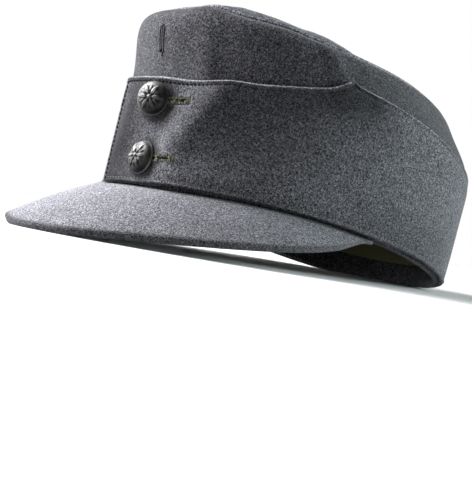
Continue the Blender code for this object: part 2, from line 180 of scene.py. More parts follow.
@lru_cache(None)
def seamTuck(turn):
    return readCurve(crownSeam, signedTurn(turn), 2)


@lru_cache(None)
def panelPuff(turn):
    return readCurve(crownSeam, signedTurn(turn), 3)


@lru_cache(None)
def flapBottom(turn):
    return rimHeight(turn) + readCurve(flapFoot, signedTurn(turn))


@lru_cache(None)
def waistHeight(turn):
    return flap["waistPeak"] * readCurve(crownWaist, aroundFront(turn) / 180)


@lru_cache(None)
def shoulder(turn):
    front = (1 + math.cos(math.radians(turn))) / 2
    return crown["shoulderSide"] + (crown["shoulderFront"] - crown["shoulderSide"]) * front ** 3


@lru_cache(None)
def turnAcross(across):
    share = abs(across) / (rim["halfWidth"] * (1 - rim["narrowing"]))
    return math.copysign(math.degrees(math.asin(share ** (rim["squareness"] / 2))), across)


def wallCorners(turn, depth):
    layer = flap["cloth"] + flap["gap"] + depth
    low = ring(rim, turn, layer, wallBottom(turn))
    waist = ring(flap, turn, layer, waistHeight(turn))
    top = ring(crown, turn, depth, cornerHeight(turn) - depth)
    return low, waist, top


def wallAt(turn, height, depth):
    # Upright part of the crown wall, softly bent at the waist; depth counts inwards
    low, waist, top = wallCorners(turn, depth)
    below = (waist - low) / (waist.z - low.z)
    above = (top - waist) / (top.z - waist.z)
    reach = crown["waistReach"]
    offset = height - waist.z
    if offset <= -reach:
        return waist + below * offset
    if offset >= reach:
        return waist + above * offset
    return waist + below * offset + (above - below) * (offset + reach) ** 2 / (4 * reach)


# Lengths round the cap, measured from the front centre along the middle of the flap
roundTurns = [i * 0.5 for i in range(721)]
roundLengths = runAlong([ring(flap, turn, 0, 0) for turn in roundTurns])
wholeRound = roundLengths[-1]


def lengthAt(turn):
    whole = math.floor(turn / 360)
    return whole * wholeRound + float(np.interp(turn - 360 * whole, roundTurns, roundLengths))


def turnAt(length):
    whole = math.floor(length / wholeRound)
    return 360 * whole + float(np.interp(length - wholeRound * whole, roundLengths, roundTurns))


def spread(start, end, spacing):
    steps = max(1, round((end - start) / spacing))
    return [start + (end - start) * i / steps for i in range(steps + 1)]


def mergeLines(*groups, apart=0.0004):
    # Sorted grid lines from several groups, without near doubles; earlier groups win
    kept = []
    for group in groups:
        for value in group:
            if all(abs(value - other) > apart for other in kept):
                kept.append(value)
    return sorted(kept)


def soft(x, y, size, seed):
    return noise.noise(Vector((x / size, y / size, seed)))


def foldLift(folds, x, y):
    # Each fold is a soft ridge, or a hollow, along a short line: two ends, a rise and a reach
    lift = 0.0
    for (x0, y0), (x1, y1), rise, reach in folds:
        run = (x1 - x0, y1 - y0)
        along = ((x - x0) * run[0] + (y - y0) * run[1]) / (run[0] ** 2 + run[1] ** 2)
        along = min(max(along, 0.0), 1.0)
        apart = math.hypot(x - x0 - along * run[0], y - y0 - along * run[1])
        lift += rise * bump(apart, reach)
    return lift


# A form is a grid of points on a surface: xs run round the cap and ys up or across it
def makeForm(xs, column, closed=False, pole=False):
    columns = [column(x) for x in xs]
    ys = [[y for y, point in rows] for rows in columns]
    points = np.array([[tuple(point) for y, point in rows] for rows in columns])
    across = np.gradient(points, axis=0)
    if closed:
        across[0] = across[-1] = points[1] - points[-2]
    upward = np.gradient(points, axis=1)
    normals = np.cross(across, upward)
    sizes = np.linalg.norm(normals, axis=2, keepdims=True)
    normals = normals / np.maximum(sizes, 1e-12)
    if pole:
        normals[:, -1] = normals[:, -2].mean(axis=0)
    return {"xs": xs, "ys": ys, "points": points, "normals": normals, "closed": closed}


def layOn(form, flat):
    # Where flat points (x, y and the height z above the cloth's middle) come to lie on the form
    xs = np.array(form["xs"])
    ys = np.array(form["ys"])
    flat = np.asarray(flat, float)
    i = np.clip(np.searchsorted(xs, flat[:, 0], "right") - 1, 0, len(xs) - 2)
    s = ((flat[:, 0] - xs[i]) / (xs[i + 1] - xs[i]))[:, None]
    lines = ys[i] * (1 - s) + ys[i + 1] * s
    j = np.clip((lines <= flat[:, 1:2]).sum(axis=1) - 1, 0, ys.shape[1] - 2)
    each = np.arange(len(flat))
    t = ((flat[:, 1] - lines[each, j]) / (lines[each, j + 1] - lines[each, j]))[:, None]
    laid = []
    for grid in (form["points"], form["normals"]):
        low = grid[i, j] * (1 - s) + grid[i + 1, j] * s
        high = grid[i, j + 1] * (1 - s) + grid[i + 1, j + 1] * s
        laid.append(low * (1 - t) + high * t)
    point, normal = laid
    return point + normal / np.linalg.norm(normal, axis=1, keepdims=True) * flat[:, 2:3]


def onForm(form, x, y, z):
    return Vector(layOn(form, [(x, y, z)])[0])


def flatCloth(form, holes=()):
    # The cloth lies flat while it is cut
    bm = bmesh.new()
    bm.loops.layers.uv.new("pattern")
    across = len(form["xs"]) - 1
    upward = len(form["ys"][0]) - 1
    bmesh.ops.create_grid(bm, x_segments=across, y_segments=upward, size=0.5)
    for vert in bm.verts:
        i = round((vert.co.x + 0.5) * across)
        j = round((vert.co.y + 0.5) * upward)
        vert.co = (form["xs"][i], form["ys"][i][j], 0.0)
    cut = []
    for face in bm.faces:
        middle = face.calc_center_median()
        if any(a < middle.x < b and c < middle.y < d for a, b, c, d in holes):
            cut.append(face)
    bmesh.ops.delete(bm, geom=cut, context="FACES")
    return bm


def within(vert, slits):
    return any(a - 1e-5 < vert.co.x < b + 1e-5 and c - 1e-5 < vert.co.y < d + 1e-5
               for a, b, c, d in slits)


def thicken(bm, form, thickness, rounding, slits, slitRounding=0.00025):
    bmesh.ops.solidify(bm, geom=bm.faces[:], thickness=thickness)
    if form["closed"]:
        ends = (form["xs"][0], form["xs"][-1])
        walls = [face for face in bm.faces
                 if all(min(abs(vert.co.x - end) for end in ends) < 1e-7 for vert in face.verts)]
        bmesh.ops.delete(bm, geom=walls, context="FACES")
    for inSlit, offset in ((True, slitRounding), (False, rounding)):
        sharp = [edge for edge in bm.edges
                 if len(edge.link_faces) == 2 and edge.calc_face_angle(0) > 1
                 and all(within(vert, slits) for vert in edge.verts) == inSlit]
        if sharp and offset:
            bmesh.ops.bevel(bm, geom=sharp, offset=offset, offset_type="OFFSET", segments=3,
                            profile=0.5, affect="EDGES", material=-1)


def paintTone(bm, toneAt):
    # How light the cloth is at each point, read by its material
    tone = bm.verts.layers.float_color.new("tone")
    for vert in bm.verts:
        value = toneAt(*vert.co)
        vert[tone] = (value, value, value, 1)


def keepPattern(bm, scale=1.0):
    # The places on the flat cloth stay with it as texture coordinates
    uv = bm.loops.layers.uv.active
    for face in bm.faces:
        for loop in face.loops:
            loop[uv].uv = (loop.vert.co.x * scale, loop.vert.co.y + loop.vert.co.z)


def wrap(bm, form):
    laid = layOn(form, [tuple(vert.co) for vert in bm.verts])
    for vert, point in zip(bm.verts, laid):
        vert.co = settle(point)


def makeCloth(form, thickness, rounding, toneAt=None, slits=(), centred=True, shape=None):
    # One cloth piece on its form: cut, thickened, painted and bent
    bm = flatCloth(form, slits)
    if centred:
        bmesh.ops.translate(bm, vec=(0, 0, thickness / 2), verts=bm.verts)
    thicken(bm, form, thickness, rounding, slits)
    if shape:
        shape(bm)
    if toneAt:
        paintTone(bm, toneAt)
    keepPattern(bm)
    wrap(bm, form)
    if form["closed"]:
        bmesh.ops.remove_doubles(bm, verts=bm.verts, dist=1e-6)
    return bm


def addObject(name, data):
    thing = bpy.data.objects.new(name, data)
    bpy.context.scene.collection.objects.link(thing)
    return thing


def meshObject(name, bm, material):
    mesh = bpy.data.meshes.new(name)
    bm.to_mesh(mesh)
    bm.free()
    mesh.materials.append(material)
    return addObject(name, mesh)


def finishPiece(name, bm, material, replaced=()):
    piece = meshObject(name, bm, material)
    piece.data.shade_smooth()
    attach(piece, "root")
    if replaced:
        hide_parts(*replaced)
    print(name, len(piece.data.polygons), "faces")


# Materials
def fillIn(node, values):
    # Each value names a setting or an input, and another node's output is linked to it
    for key, value in values.items():
        if isinstance(value, bpy.types.NodeSocket):
            node.id_data.links.new(value, node.inputs[key])
        elif isinstance(key, str) and hasattr(node, key):
            setattr(node, key, value)
        else:
            node.inputs[key].default_value = value
    return node


def addNode(tree, kind, *sources, **values):
    return fillIn(tree.nodes.new(kind), {**dict(enumerate(sources)), **values})


def colourRamp(tree, source, stops):
    ramp = addNode(tree, "ShaderNodeValToRGB", source)
    while len(ramp.color_ramp.elements) < len(stops):
        ramp.color_ramp.elements.new(0.5)
    for element, (place, colour) in zip(ramp.color_ramp.elements, stops):
        element.position = place
        element.color = (*colour, 1)
    return ramp.outputs["Color"]


def shaded(tree, colour, shade):
    mixed = addNode(tree, "ShaderNodeMix", data_type="RGBA", blend_type="MULTIPLY", Factor=1, A=colour,
                    B=shade)
    return mixed.outputs["Result"]


def newMaterial(name, shader):
    material = bpy.data.materials.new(name)
    material.use_nodes = True
    fillIn(material.node_tree.nodes["Principled BSDF"], shader)
    return material


def coat(material, colour, height, look):
    # Gives the material its colour and a fine relief
    tree = material.node_tree
    relief = addNode(tree, "ShaderNodeBump", Strength=look["relief"], Distance=look["reliefDepth"],
                     Height=height)
    fillIn(tree.nodes["Principled BSDF"], {"Base Color": colour, "Normal": relief.outputs["Normal"]})
    return material


def woolMaterial(name, look):
    material = newMaterial(name, look["shader"])
    tree = material.node_tree
    place = addNode(tree, "ShaderNodeTexCoord").outputs["Object"]
    fibre = addNode(tree, "ShaderNodeTexNoise", Vector=place, Scale=look["fibreScale"], Detail=3.0,
                    Roughness=look["fibreFuzz"], Distortion=look["curl"]).outputs["Fac"]
    blotch = addNode(tree, "ShaderNodeTexNoise", Vector=place, Scale=look["blotchScale"], Detail=2.0)
    level = addNode(tree, "ShaderNodeMapRange", **{
        "Value": blotch.outputs["Fac"], "From Min": 0.3, "From Max": 0.7,
        "To Min": 1 - look["blotch"], "To Max": 1 + look["blotch"]})
    mottled = shaded(tree, colourRamp(tree, fibre, look["tones"]), level.outputs["Result"])
    painted = addNode(tree, "ShaderNodeAttribute", attribute_name="tone")
    return coat(material, shaded(tree, mottled, painted.outputs["Color"]), fibre, look)


woolLook = {"shader": {"Roughness": 0.95, "Sheen Weight": 0.09, "Sheen Roughness": 0.45,
                       "Sheen Tint": (0.8, 0.82, 0.9, 1), "Specular IOR Level": 0.15},
            "fibreScale": 1250.0, "fibreFuzz": 0.75, "curl": 1.3, "blotchScale": 70.0, "blotch": 0.08,
            "relief": 0.6, "reliefDepth": 0.0004,
            "tones": ((0.40, (0.003, 0.003, 0.004)), (0.5, (0.033, 0.034, 0.040)),
                      (0.60, (0.180, 0.180, 0.193)))}
crownWool = woolMaterial("crownWool", woolLook)
flapWool = woolMaterial("flapWool", woolLook)
topWool = woolMaterial("topWool", woolLook)
# The visor's cloth is the same wool in lighter tones, as painted light on its upward face
litVisorWool = woolMaterial("litVisorWool", {
    **woolLook, "tones": ((0.38, (0.005, 0.005, 0.006)), (0.5, (0.054, 0.055, 0.063)),
                          (0.61, (0.225, 0.225, 0.239)))})
threadLook = {"twist": 1400.0, "uneven": 1.5, "dark": 0.45, "light": 1.25, "relief": 0.5,
              "reliefDepth": 0.0001}


def threadMaterial(name, colour):
    # Two twisted plies, seen as fine slanting bands
    material = newMaterial(name, {"Base Color": (*colour, 1), "Roughness": 0.75,
                                  "Specular IOR Level": 0.2})
    tree = material.node_tree
    place = addNode(tree, "ShaderNodeTexCoord").outputs["Object"]
    twist = addNode(tree, "ShaderNodeTexWave", bands_direction="DIAGONAL", Vector=place,
                    Scale=threadLook["twist"], Distortion=threadLook["uneven"]).outputs["Fac"]
    hollows = [threadLook["dark"] * part for part in colour]
    tops = [threadLook["light"] * part for part in colour]
    return coat(material, colourRamp(tree, twist, ((0.2, hollows), (0.8, tops))), twist, threadLook)


def twillMaterial(name, look):
    # Diagonal ribs that follow the cloth's own pattern coordinates
    material = newMaterial(name, look["shader"])
    tree = material.node_tree
    flat = addNode(tree, "ShaderNodeUVMap", uv_map="pattern").outputs["UV"]
    turned = addNode(tree, "ShaderNodeMapping", Vector=flat, Rotation=(0, 0, math.radians(look["slant"])))
    ribs = addNode(tree, "ShaderNodeTexWave", bands_direction="X", Vector=turned.outputs["Vector"],
                   Scale=look["ribs"], Distortion=look["uneven"])
    yarn = addNode(tree, "ShaderNodeTexNoise", Vector=flat, Scale=look["yarn"], Detail=2.0)
    both = addNode(tree, "ShaderNodeMath", ribs.outputs["Fac"], yarn.outputs["Fac"], operation="ADD")
    half = addNode(tree, "ShaderNodeMath", both.outputs[0], 0.5, operation="MULTIPLY")
    return coat(material, colourRamp(tree, half.outputs[0], look["tones"]), both.outputs[0], look)


def pewterMaterial(name, look):
    # Dark in the hollows of the relief and worn bright on its tops, as painted on the button, which also
    # carries painted light on its upper side and painted shade towards one side
    material = newMaterial(name, look["shader"])
    tree = material.node_tree
    painted = addNode(tree, "ShaderNodeAttribute", attribute_name="tone").outputs["Fac"]
    place = addNode(tree, "ShaderNodeTexCoord").outputs["Object"]
    stain = addNode(tree, "ShaderNodeTexNoise", Vector=place, Scale=look["stainScale"], Detail=3.0,
                    Roughness=0.7).outputs["Fac"]
    uneven = addNode(tree, "ShaderNodeMath", stain, look["stain"], painted, operation="MULTIPLY_ADD")
    return coat(material, colourRamp(tree, uneven.outputs[0], look["tones"]), stain, look)


darkThread = threadMaterial("darkThread", (0.006, 0.006, 0.005))
oliveThread = threadMaterial("oliveThread", (0.15, 0.15, 0.095))
greyThread = threadMaterial("greyThread", (0.16, 0.16, 0.17))
liningTwill = twillMaterial("liningTwill", {
    "shader": {"Base Color": (0.15, 0.135, 0.06, 1), "Roughness": 0.75, "Sheen Weight": 0.2,
               "Specular IOR Level": 0.3},
    "slant": 35.0, "ribs": 420.0, "uneven": 0.6, "yarn": 1800.0, "relief": 0.5, "reliefDepth": 0.0002,
    "tones": ((0.3, (0.07, 0.062, 0.026)), (0.7, (0.22, 0.20, 0.09)))})
pewter = pewterMaterial("pewter", {
    "shader": {"Base Color": (0.045, 0.045, 0.045, 1), "Roughness": 0.45, "Metallic": 0.6},
    "stainScale": 900.0, "stain": 0.3, "relief": 0.25, "reliefDepth": 0.0002,
    "tones": ((0.15, (0.003, 0.003, 0.003)), (0.55, (0.045, 0.045, 0.045)),
              (1.0, (0.42, 0.41, 0.39)))})
print("materials ready")


# Crown wall: one strip of cloth, from the hem inside, round the fold and up over the shoulder
wall = {"columnSpacing": 0.0017, "slitWidth": 0.0008, "slitBottom": 0.0667, "slitTop": 0.0790,
        "slitSide": 0.0018, "rounding": 0.0004, "hemRows": 5, "foldRows": 5, "lowRows": 12,
        "waistRows": 20, "bendRows": 16, "upperRows": 44,
        "sag": 0.0006, "sagSize": 0.045, "fineSagSize": 0.02, "sagRun": 0.02,
        "pucker": 0.00022, "puckerSize": 0.009, "puckerFrom": 0.01, "puckerRun": 0.03,
        "tone": 0.76, "crestHighlight": 1.5, "crestReach": 0.0013,
        "gapShadeSpan": (0.0140, 0.001, 0.0240, 0.004), "gapShadeEnd": 0.0950, "gapShadeFade": 0.015,
        "gapShadeTone": 0.14,
        "paintedShading": (((0.125, 0.085), (0.230, 0.085), 0.26, 0.0300),
                 ((0.010, 0.085), (0.060, 0.085), 0.06, 0.0300)),
        "folds": (((0.031, 0.070), (0.033, 0.088), 0.0011, 0.0060),
                  ((0.047, 0.072), (0.044, 0.090), -0.0006, 0.0080),
                  ((0.104, 0.080), (0.105, 0.096), 0.0010, 0.0050),
                  ((0.092, 0.080), (0.094, 0.098), -0.0006, 0.0070),
                  ((-0.035, 0.072), (-0.033, 0.090), 0.0008, 0.0070),
                  ((-0.104, 0.078), (-0.102, 0.094), 0.0008, 0.0060),
                  ((0.208, 0.070), (0.226, 0.080), 0.0024, 0.0130),
                  ((-0.208, 0.070), (-0.226, 0.080), 0.0024, 0.0130))}


def wallColumn(x):
    turn = turnAt(x)
    middle = crown["cloth"] / 2
    fold = crown["hemFold"]
    hemDepth = middle + 2 * fold
    bottom = wallBottom(turn)
    foldHeight = bottom + middle + fold
    waistLow = waistHeight(turn) - crown["waistReach"]
    rows = []
    for i in range(wall["hemRows"]):
        share = i / wall["hemRows"]
        height = (bottom + crown["hemHeight"]) * (1 - share) + foldHeight * share
        rows.append(wallAt(turn, height, hemDepth))
    for i in range(wall["foldRows"] + 1):
        angle = math.pi * i / wall["foldRows"]
        rows.append(wallAt(turn, foldHeight - fold * math.sin(angle),
                           middle + fold + fold * math.cos(angle)))
    for i in range(1, wall["lowRows"]):
        share = i / wall["lowRows"]
        rows.append(wallAt(turn, foldHeight + (waistLow - foldHeight) * share, middle))
    upper = upperProfile(turn, middle)
    rows += upper
    ys = runAlong(rows)
    start = ys[len(rows) - len(upper)]
    out = outwardAt(turn)
    shaped = []
    for y, point in zip(ys, rows):
        rise = y - start
        amount = ease(rise / wall["sagRun"])
        fine = 0.5 * soft(x, y, wall["fineSagSize"], 7.7)
        wave = wall["sag"] * (soft(x, point.z, wall["sagSize"], 3.1) + fine)
        seam = wall["pucker"] * soft(x, 0, wall["puckerSize"], 1.3)
        seam *= ease((rise - wall["puckerFrom"]) / wall["puckerRun"])
        shaped.append((y, point + out * (wave * amount + seam + foldLift(wall["folds"], x, y))))
    return shaped


def roundShoulder(turn, depth, steps):
    # The curve from the wall round to the panel's seam, and how far in from the corner it ends
    waist, corner = wallCorners(turn, depth)[1:]
    reach = max(shoulder(turn) - depth, crown["leastShoulder"])
    start = corner + (waist - corner).normalized() * crown["bend"] * reach
    end = ring(crown, turn, depth + reach, corner.z - seamTuck(turn))
    return [start * (1 - t) ** 2 + corner * 2 * t * (1 - t) + end * t * t
            for t in spread(0, 1, 1 / steps)], depth + reach


def upperProfile(turn, depth):
    # From the waist up and round the shoulder to the turned-in allowance, in even steps
    curve, inset = roundShoulder(turn, depth, wall["bendRows"])
    low = wallCorners(turn, depth)[1].z - crown["waistReach"]
    steps = wall["waistRows"]
    line = [wallAt(turn, low + (curve[0].z - low) * i / steps, depth) for i in range(steps)]
    line += curve
    line.append(ring(crown, turn, inset + crown["allowance"], curve[-1].z))
    lengths = runAlong(line)
    grid = np.array([tuple(point) for point in line])
    wanted = [lengths[-1] * share for share in wallShares]
    return [Vector([float(np.interp(value, lengths, grid[:, k])) for k in range(3)])
            for value in wanted]


def slitShare(height):
    # Where on the front's profile a height lies, as a share of its length
    total = 0.0
    found = None
    line = upperProfile(0.0, crown["cloth"] / 2)
    for near, far in zip(line, line[1:]):
        if near.z <= height <= far.z and found is None:
            found = total + (far - near).length * (height - near.z) / (far.z - near.z)
        total += (far - near).length
    return found / total


wallShares = spread(0, 1, 1 / 200)  # A fine grid first, to find the slit's rows
slitShares = [slitShare(wall["slitBottom"]), slitShare(wall["slitTop"])]
wallShares = spread(0, 1, 1 / wall["upperRows"])
for share in slitShares:
    nearest = min(range(len(wallShares)), key=lambda k: abs(wallShares[k] - share))
    wallShares[nearest] = share
half = wall["slitWidth"] / 2
wallXs = mergeLines([-wholeRound / 2, -half, half, wholeRound / 2], [-wall["slitSide"], wall["slitSide"]],
                    spread(-wholeRound / 2, wholeRound / 2, wall["columnSpacing"]))
wallForm = makeForm(wallXs, wallColumn, closed=True)
front = wallXs.index(-half)
firstUpper = len(wallForm["ys"][0]) - len(wallShares)
slitRows = [firstUpper + min(range(len(wallShares)), key=lambda k: abs(wallShares[k] - share))
            for share in slitShares]
slitYs = [wallForm["ys"][front][row] for row in slitRows]
wallSlit = (-half, half, slitYs[0], slitYs[1])
wallCrests = [ys[int(heights.argmax())] for ys, heights in zip(wallForm["ys"], wallForm["points"][:, :, 2])]


def wallTone(x, y, z):
    # The crown wall's tone carries a painted highlight along the crest of the shoulder and painted shade in
    # patches
    crest = float(np.interp(x, wallForm["xs"], wallCrests))
    toneWithPaintedLight = wall["tone"] + wall["crestHighlight"] * bump(y - crest, wall["crestReach"])
    toneWithPaintedLight -= foldLift(wall["paintedShading"], x, y)
    # Painted shade darkens the gap between the visor and the flap
    low = swell(y, *wall["gapShadeSpan"]) * (1 - ease((abs(x) - wall["gapShadeEnd"]) / wall["gapShadeFade"]))
    return toneWithPaintedLight * (1 - low) + wall["gapShadeTone"] * low


bm = makeCloth(wallForm, crown["cloth"], wall["rounding"], wallTone, [wallSlit])
finishPiece("crownWall", bm, crownWool, ["crown_wall"])


# Ear flap: a doubled band, stitched near its edges, whose outer end lies over the under end
band = {"columnSpacing": 0.0016, "edgeRows": (0, 0.0014, 0.0020, 0.0025, 0.0031, 0.0040, 0.0055),
        "middleRows": 26, "middleFrom": 0.12, "middleTo": 0.88, "rowSpace": 0.012, "peakLine": 0.0006,
        "stitchIn": 0.0025, "rounding": 0.0011, "cornerRun": 0.0004, "cornerCut": 0.0010,
        "puff": 0.30, "puffIn": 0.0012, "puffReach": 0.0008, "groove": 0.45, "grooveReach": 0.0007,
        "gather": 0.35, "gatherSize": 0.0028, "sag": 0.0005, "sagSize": 0.05, "sagRun": 0.02,
        "edgeHighlight": 2.6, "edgeIn": 0.0003, "edgeReach": 0.0005,
        "endHighlight": 1.2, "endIn": 0.0014, "endReach": 0.0009,
        "footShade": 1.0, "footReach": 0.0007, "footShadeEnd": 0.125, "footRun": 0.03,
        "buttonShadow": 0.75, "buttonShadowReach": 0.0100, "buttonShadowFade": 0.0022, "buttonShadowOffset": 0.0010, "darkest": 0.06,
        "buttonAcross": 0.0072,
        "buttonHeights": {"button_upper": 0.0409, "button_lower": 0.0104},
        "holeStart": 0.0024, "holeLength": 0.0200, "holeWidth": 0.0011, "holeCut": 0.7,
        "paintedShading": (((-0.016, 0.004), (-0.011, 0.048), 0.71, 0.0140),
                 ((-0.027, 0.002), (-0.023, 0.018), 0.24, 0.0090),
                 ((0.020, 0.008), (0.100, 0.008), -0.28, 0.0110),
                 ((0.100, 0.062), (0.122, 0.066), 0.30, 0.0090),
                 ((0.140, 0.006), (0.200, 0.010), 0.30, 0.0130),
                 ((0.036, 0.040), (0.056, 0.028), 0.18, 0.0140),
                 ((0.050, 0.050), (0.122, 0.064), 0.45, 0.0150)),
        "folds": (((0.0265, 0.0200), (0.0500, 0.0530), 0.0034, 0.0095),
                  ((0.0020, 0.0100), (0.0260, 0.0560), -0.0020, 0.0100),
                  ((0.0390, 0.0200), (0.0580, 0.0400), -0.0010, 0.0080),
                  ((-0.0290, -0.0010), (-0.0290, 0.0560), 0.0006, 0.0120),
                  ((-0.016, 0.018), (-0.013, 0.042), 0.0006, 0.0040),
                  ((-0.007, 0.018), (-0.002, 0.028), -0.0006, 0.0040),
                  ((0.032, 0.007), (0.078, 0.008), 0.0010, 0.0070),
                  ((0.114, 0.014), (0.122, 0.016), -0.0006, 0.0070))}


def overlapLift(turn, height):
    share = (height - flapBottom(turn)) / (flapTop(turn) - flapBottom(turn))
    start = turnAcross(flap["underEnd"]) + flap["foldStart"] + flap["foldSlant"] * share
    if turn > 180:
        return 0.0
    return (flap["cloth"] + flap["gap"]) * (1 - ease((turn - start) / flap["foldRun"]))


def flapAt(x, height):
    # Outer face of the band
    turn = turnAt(x)
    depth = -flap["gap"] - flap["cloth"] - overlapLift(turn, height)
    point = wallAt(signedTurn(turn), height, depth)
    y = height - flapBottom(turn)
    inside = ease(y / band["sagRun"]) * ease((flapTop(turn) - height) / band["sagRun"])
    wave = band["sag"] * soft(x, y, band["sagSize"], 5.5) * inside
    return point + outwardAt(turn) * (wave + foldLift(band["folds"], x, y))


def flapColumn(x):
    turn = turnAt(x)
    low = flapBottom(turn)
    high = flapTop(turn)
    edge = band["edgeRows"]
    ended = min(x - bandStart, bandEnd - x)
    if ended < band["cornerRun"]:
        high -= band["cornerCut"]
        low += band["cornerCut"] / 2
    heights = [low + step for step in edge]
    heights += [low + (high - low) * share for share in bandShares]
    heights += [high - step for step in reversed(edge)]
    return [(height - flapBottom(turn), flapAt(x, height)) for height in heights]


holeTurn = turnAcross(band["buttonAcross"] - band["holeStart"])
holeXs = [lengthAt(holeTurn), lengthAt(turnAcross(band["buttonAcross"] + band["holeLength"]))]
buttonX = lengthAt(turnAcross(band["buttonAcross"]))
holeYs = {node: height - flapBottom(turnAcross(band["buttonAcross"]))
          for node, height in band["buttonHeights"].items()}
frontRise = flapTop(holeTurn) - flapBottom(holeTurn)
holeRows = [(y + side * band["holeWidth"] / 2) / frontRise for y in holeYs.values() for side in (-1, 1)]
middleSpace = (band["middleTo"] - band["middleFrom"]) / band["middleRows"]
middleShares = spread(band["middleFrom"], band["middleTo"], middleSpace)
bandShares = [share for share in mergeLines(holeRows, middleShares)
              if share in holeRows or min(abs(share - row) for row in holeRows) > band["rowSpace"]]
bandStart = lengthAt(turnAcross(-flap["outerEnd"]))
bandEnd = lengthAt(turnAcross(flap["underEnd"])) + wholeRound
tipX = lengthAt(flap["peakAngle"])
tipSteps = (-band["peakLine"], 0, band["peakLine"])
bandXs = mergeLines([bandStart + step for step in band["edgeRows"]],
                    [bandEnd - step for step in band["edgeRows"]],
                    [side + step for side in (tipX, wholeRound - tipX) for step in tipSteps],
                    holeXs, spread(bandStart, bandEnd, band["columnSpacing"]))
bandForm = makeForm(bandXs, flapColumn)
bandTops = [ys[-1] for ys in bandForm["ys"]]


def bandReach(x):
    return float(np.interp(x, bandForm["xs"], bandTops))


def quiltEdges(bm):
    # The cloth puffs up between its edge and the stitch row, and is drawn in along the row
    middle = -flap["cloth"] / 2
    for vert in bm.verts:
        x, y, z = vert.co
        apart = min(x - bandStart, bandEnd - x, y, bandReach(x) - y)
        gather = 1 + band["gather"] * soft(x, y, band["gatherSize"], 8.2)
        thick = 1 + band["puff"] * bump(apart - band["puffIn"], band["puffReach"]) * gather
        thick -= band["groove"] * bump(apart - band["stitchIn"], band["grooveReach"]) * gather
        vert.co.z = middle + (z - middle) * thick


def bandTone(x, y, z):
    # Painted highlights along the upper edge and the outer end, and painted shade along the lower edge
    # towards the front
    tops = bandReach(x) - y
    tone = 1 + band["edgeHighlight"] * bump(max(tops - band["edgeIn"], 0), band["edgeReach"])
    tone += band["endHighlight"] * bump(max(x - bandStart - band["endIn"], 0), band["endReach"])
    clean = ease((x - band["footShadeEnd"]) / band["footRun"])
    tone -= band["footShade"] * bump(y, band["footReach"]) * (1 - clean)
    # Painted shade in patches, and painted light where a patch's rise is below zero
    tone -= foldLift(band["paintedShading"], x, y)
    for height in holeYs.values():
        # Painted shadow below each button, shifted down and along the band from its middle
        away = math.hypot(x - buttonX - band["buttonShadowOffset"], y - height + band["buttonShadowOffset"])
        tone -= band["buttonShadow"] * (1 - ease((away - band["buttonShadowReach"]) / band["buttonShadowFade"]))
    return max(tone, band["darkest"])


halfHole = band["holeWidth"] * band["holeCut"]
bandSlits = [(*holeXs, y - halfHole, y + halfHole) for y in holeYs.values()]
bm = makeCloth(bandForm, flap["cloth"], band["rounding"], bandTone, bandSlits, False, quiltEdges)
finishPiece("earFlap", bm, flapWool, ["ear_flap"])


# Top panel: its edge is turned under and sewn down on the allowance
panel = {"cloth": 0.0022, "gap": 0.0003, "rise": 0.0022, "columnSpacing": 0.0020,
         "edgeRows": (0, 0.0006, 0.0011, 0.0016, 0.0020, 0.0025, 0.0033, 0.0045, 0.0060, 0.0080),
         "innerRows": 26, "rounding": 0.0009, "puffRun": 0.0075,
         "ridge": 0.0004, "ridgeIn": 0.0009, "ridgeReach": 0.0008,
         "stitchIn": 0.0020, "dent": 0.0002, "dentReach": 0.0005,
         "wave": 0.0010, "waveSize": 0.04, "waveRun": 0.03,
         "pucker": 0.00035, "puckerSize": 0.007, "puckerSpan": (0.001, 0.004, 0.004, 0.02),
         "tone": 1.15, "edgeHighlight": 1.9, "edgeReach": 0.0009, "rowShade": 0.4, "rowReach": 0.0006,
         "layerHighlight": 0.5, "layerIn": 0.0052, "layerReach": 0.0007}


def overCrown(turn, share, inset, lift):
    # A point over the crown's opening: share 1 lies on the seam and 0 in the middle
    edge = ring(crown, turn, inset, cornerHeight(turn))
    frontEdge = ring(crown, 0, inset, cornerHeight(0))
    backEdge = ring(crown, 180, inset, cornerHeight(180))
    point = frontEdge.lerp(backEdge, 0.5).lerp(edge, share)
    run = backEdge.y - frontEdge.y
    slope = (backEdge.z - frontEdge.z) / run
    stray = edge.z - frontEdge.z - slope * (edge.y - frontEdge.y)
    point.z = frontEdge.z + slope * (point.y - frontEdge.y) + stray * share * share + lift
    return point


def panelColumn(x):
    turn = turnAt(x)
    inset = shoulder(turn)
    reach = (ring(crown, turn, inset, 0) - overCrown(turn, 0, inset, 0)).xy.length
    ins = list(panel["edgeRows"])
    rest = reach - ins[-1]
    ins += [ins[-1] + rest * i / panel["innerRows"] for i in range(1, panel["innerRows"] + 1)]
    rows = []
    for inwards in ins:
        share = max(1 - inwards / reach, 0.0)
        lift = panel["gap"] + panel["cloth"] / 2 + panel["rise"] * (1 - share ** 4)
        lift += panelPuff(turn) * share * ease(inwards / panel["puffRun"]) - seamTuck(turn) * share
        lift += panel["ridge"] * bump(inwards - panel["ridgeIn"], panel["ridgeReach"])
        lift -= panel["dent"] * bump(inwards - panel["stitchIn"], panel["dentReach"])
        point = overCrown(turn, share, inset, lift)
        inside = ease(inwards / panel["waveRun"])
        point.z += panel["wave"] * soft(point.x, point.y, panel["waveSize"], 2.2) * inside
        gather = swell(inwards, *panel["puckerSpan"])
        point.z += panel["pucker"] * soft(x, inwards * 0.4, panel["puckerSize"], 6.4) * gather
        rows.append((inwards, point))
    return rows


def panelTone(x, y, z):
    # Painted highlight on the fold, painted shade along the stitch row, and a second faint painted
    # highlight where the allowance ends below
    tone = panel["tone"] + panel["edgeHighlight"] * bump(y, panel["edgeReach"])
    tone -= panel["rowShade"] * bump(y - panel["stitchIn"], panel["rowReach"])
    return tone + panel["layerHighlight"] * bump(y - panel["layerIn"], panel["layerReach"])


panelXs = spread(-wholeRound / 2, wholeRound / 2, panel["columnSpacing"])
panelForm = makeForm(panelXs, panelColumn, closed=True, pole=True)
bm = makeCloth(panelForm, panel["cloth"], panel["rounding"], panelTone)
finishPiece("topPanel", bm, topWool, ["top_panel"])


